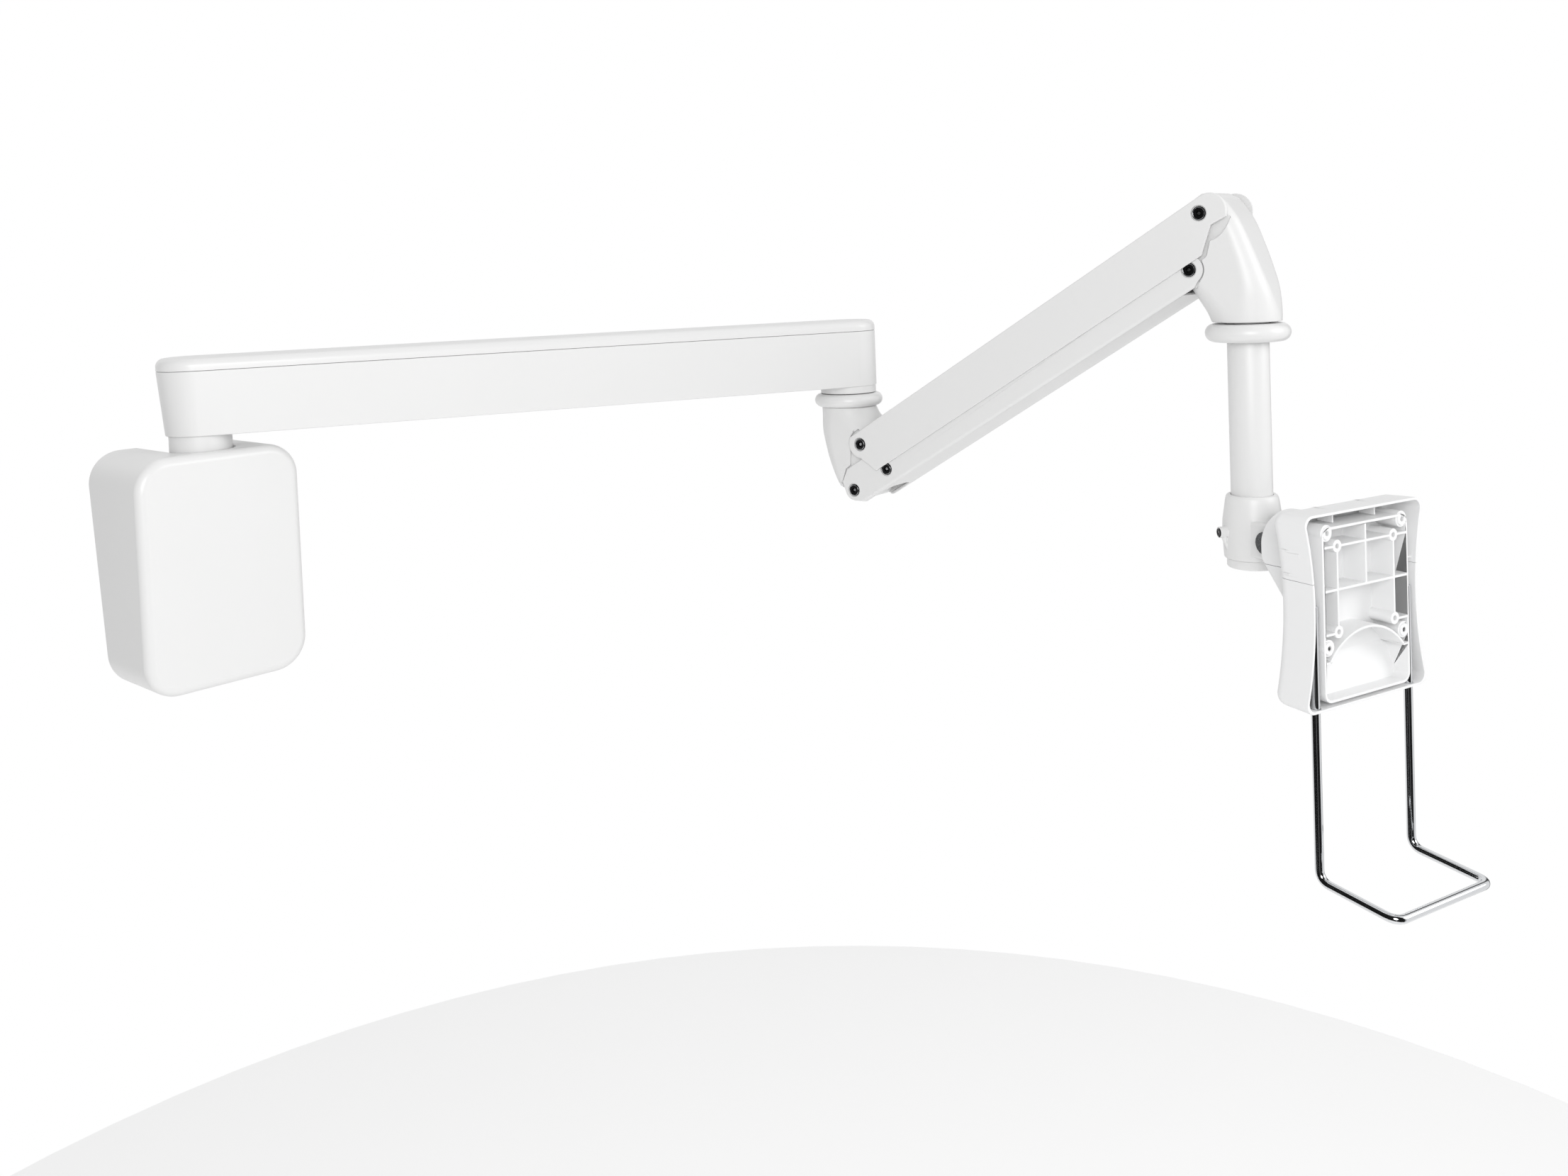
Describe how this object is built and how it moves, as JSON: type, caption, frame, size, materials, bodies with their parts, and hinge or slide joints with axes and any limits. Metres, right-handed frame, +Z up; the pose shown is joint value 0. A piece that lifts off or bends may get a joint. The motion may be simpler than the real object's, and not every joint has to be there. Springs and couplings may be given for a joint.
{
  "type": "wall mounted display arm",
  "caption": "Wall-mounted medical display arm: covered wall pivot, level extension arm, spring-balanced arm, drop tube and tilting display head with a sliding rod handle.",
  "frame": {"origin": "middle of the wall plate's back face, on the wall", "axes": "+Z up, +Y into the wall, so the room is on the -Y side; +X to the right as seen from the room"},
  "size_m": [0.7825, 1.0561, 0.6139],
  "materials": {
    "white_paint": "satin white powder paint over cast and extruded alloy",
    "white_plastic": "smooth white moulded plastic",
    "head_plastic": "fine matt light grey-white moulded plastic",
    "black_screw": "black oxide steel",
    "bright_steel": "plain bright steel",
    "chrome_rod": "polished chrome",
    "cast_alloy": "cast and lightly blasted alloy",
    "bearing": "dark grey bearing plastic",
    "spring_black": "semi-gloss black paint"
  },
  "bodies": {
    "wall_unit": {"wall_plate": "cast_alloy", "pivot_housing": "cast_alloy", "housing_bolt_1": "bright_steel", "housing_bolt_2": "bright_steel", "housing_bolt_3": "bright_steel", "housing_bolt_4": "bright_steel", "base_bush_lower": "bearing", "base_bush_upper": "bearing", "wall_cover": "white_plastic", "cover_screw_left": "black_screw", "cover_screw_right": "black_screw"},
    "extension_arm": {"extension_beam": "white_paint", "extension_lid": "white_plastic", "lid_screw_1": "black_screw", "lid_screw_2": "black_screw", "pivot_post": "bright_steel", "post_nut": "bright_steel", "base_thrust_washer": "bearing", "elbow_bush_lower": "bearing", "elbow_bush_upper": "bearing"},
    "elbow": {"elbow_yoke": "white_paint", "elbow_collar": "white_plastic", "elbow_spindle": "bright_steel", "spindle_nut": "bright_steel", "elbow_pivot_bush": "bearing", "elbow_lower_bush": "bearing"},
    "upper_link": {"upper_casing": "white_paint", "elbow_pivot_pin": "black_screw", "elbow_pivot_screw": "black_screw", "head_pivot_pin": "black_screw", "head_pivot_screw": "black_screw", "spring_anchor_pin": "bright_steel"},
    "lower_link": {"lower_casing": "white_paint", "elbow_lower_pin": "black_screw", "elbow_lower_screw": "black_screw", "spring_pin": "black_screw", "spring_screw": "black_screw", "head_lower_pin": "black_screw", "head_lower_screw": "black_screw"},
    "spring_barrel": {"gas_spring_barrel": "spring_black"},
    "spring_rod": {"gas_spring_rod": "chrome_rod"},
    "head_mount": {"head_yoke": "white_paint", "head_pivot_bush": "bearing", "head_lower_bush": "bearing", "tube_bush": "bearing"},
    "drop_stem": {"drop_tube": "white_paint", "drop_collar": "white_plastic", "tube_nut": "bright_steel", "hub_body": "white_paint", "hub_cap": "white_plastic", "clamp_screw": "black_screw"},
    "display_head": {"tilt_bracket": "bright_steel", "tilt_pin": "bright_steel", "tilt_nut": "bright_steel", "rear_shell_upper": "head_plastic", "rear_shell_lower": "head_plastic", "mount_tray": "head_plastic"},
    "handle": {"handle_loop": "chrome_rod"}
  },
  "joints": [
    {"name": "base_swivel", "type": "hinge", "parent": "wall_unit", "child": "extension_arm", "pos_m": [0, -0.0755, 0.1], "axis": [0, 0, 1], "range_deg": [-90, 22]},
    {"name": "elbow_swivel", "type": "hinge", "parent": "extension_arm", "child": "elbow", "pos_m": [0.6236, -0.38235, 0.12], "axis": [0, 0, 1], "range_deg": [-75, 100]},
    {"name": "lift", "type": "hinge", "parent": "elbow", "child": "upper_link", "pos_m": [0.62634, -0.42065, 0.0648], "axis": [-0.9974, -0.0715, 0], "range_deg": [-62, 2]},
    {"name": "lower_swing", "type": "hinge", "parent": "elbow", "child": "lower_link", "pos_m": [0.62545, -0.40818, 0.0117], "axis": [-0.9974, -0.0715, 0], "range_deg": [-62, 2]},
    {"name": "head_level", "type": "hinge", "parent": "upper_link", "child": "head_mount", "pos_m": [0.65491, -0.81923, 0.30396], "axis": [-0.9974, -0.0715, 0], "range_deg": [-2, 62]},
    {"name": "barrel_swing", "type": "hinge", "parent": "upper_link", "child": "spring_barrel", "pos_m": [0.64977, -0.7475, 0.25859], "axis": [-0.9974, -0.0715, 0], "range_deg": [-1, 5]},
    {"name": "rod_swing", "type": "hinge", "parent": "lower_link", "child": "spring_rod", "pos_m": [0.62865, -0.45294, 0.03856], "axis": [-0.9974, -0.0715, 0], "range_deg": [-1, 5]},
    {"name": "stem_swivel", "type": "hinge", "parent": "head_mount", "child": "drop_stem", "pos_m": [0.65714, -0.85035, 0.199], "axis": [0, 0, 1], "range_deg": [-120, 120]},
    {"name": "head_tilt", "type": "hinge", "parent": "drop_stem", "child": "display_head", "pos_m": [0.64577, -0.88577, -0.004], "axis": [-0.9521, 0.3057, 0], "range_deg": [-18, 18]},
    {"name": "handle_slide", "type": "slide", "parent": "display_head", "child": "handle", "axis": [0, 0, 1], "range_m": [-0.04, 0.02]}
  ],
  "couplings": [
    {"joint": "lower_swing", "follows": "lift", "ratio": 1},
    {"joint": "head_level", "follows": "lift", "ratio": -1},
    {"joint": "barrel_swing", "follows": "lift", "ratio": -0.066},
    {"joint": "rod_swing", "follows": "lift", "ratio": -0.066}
  ]
}
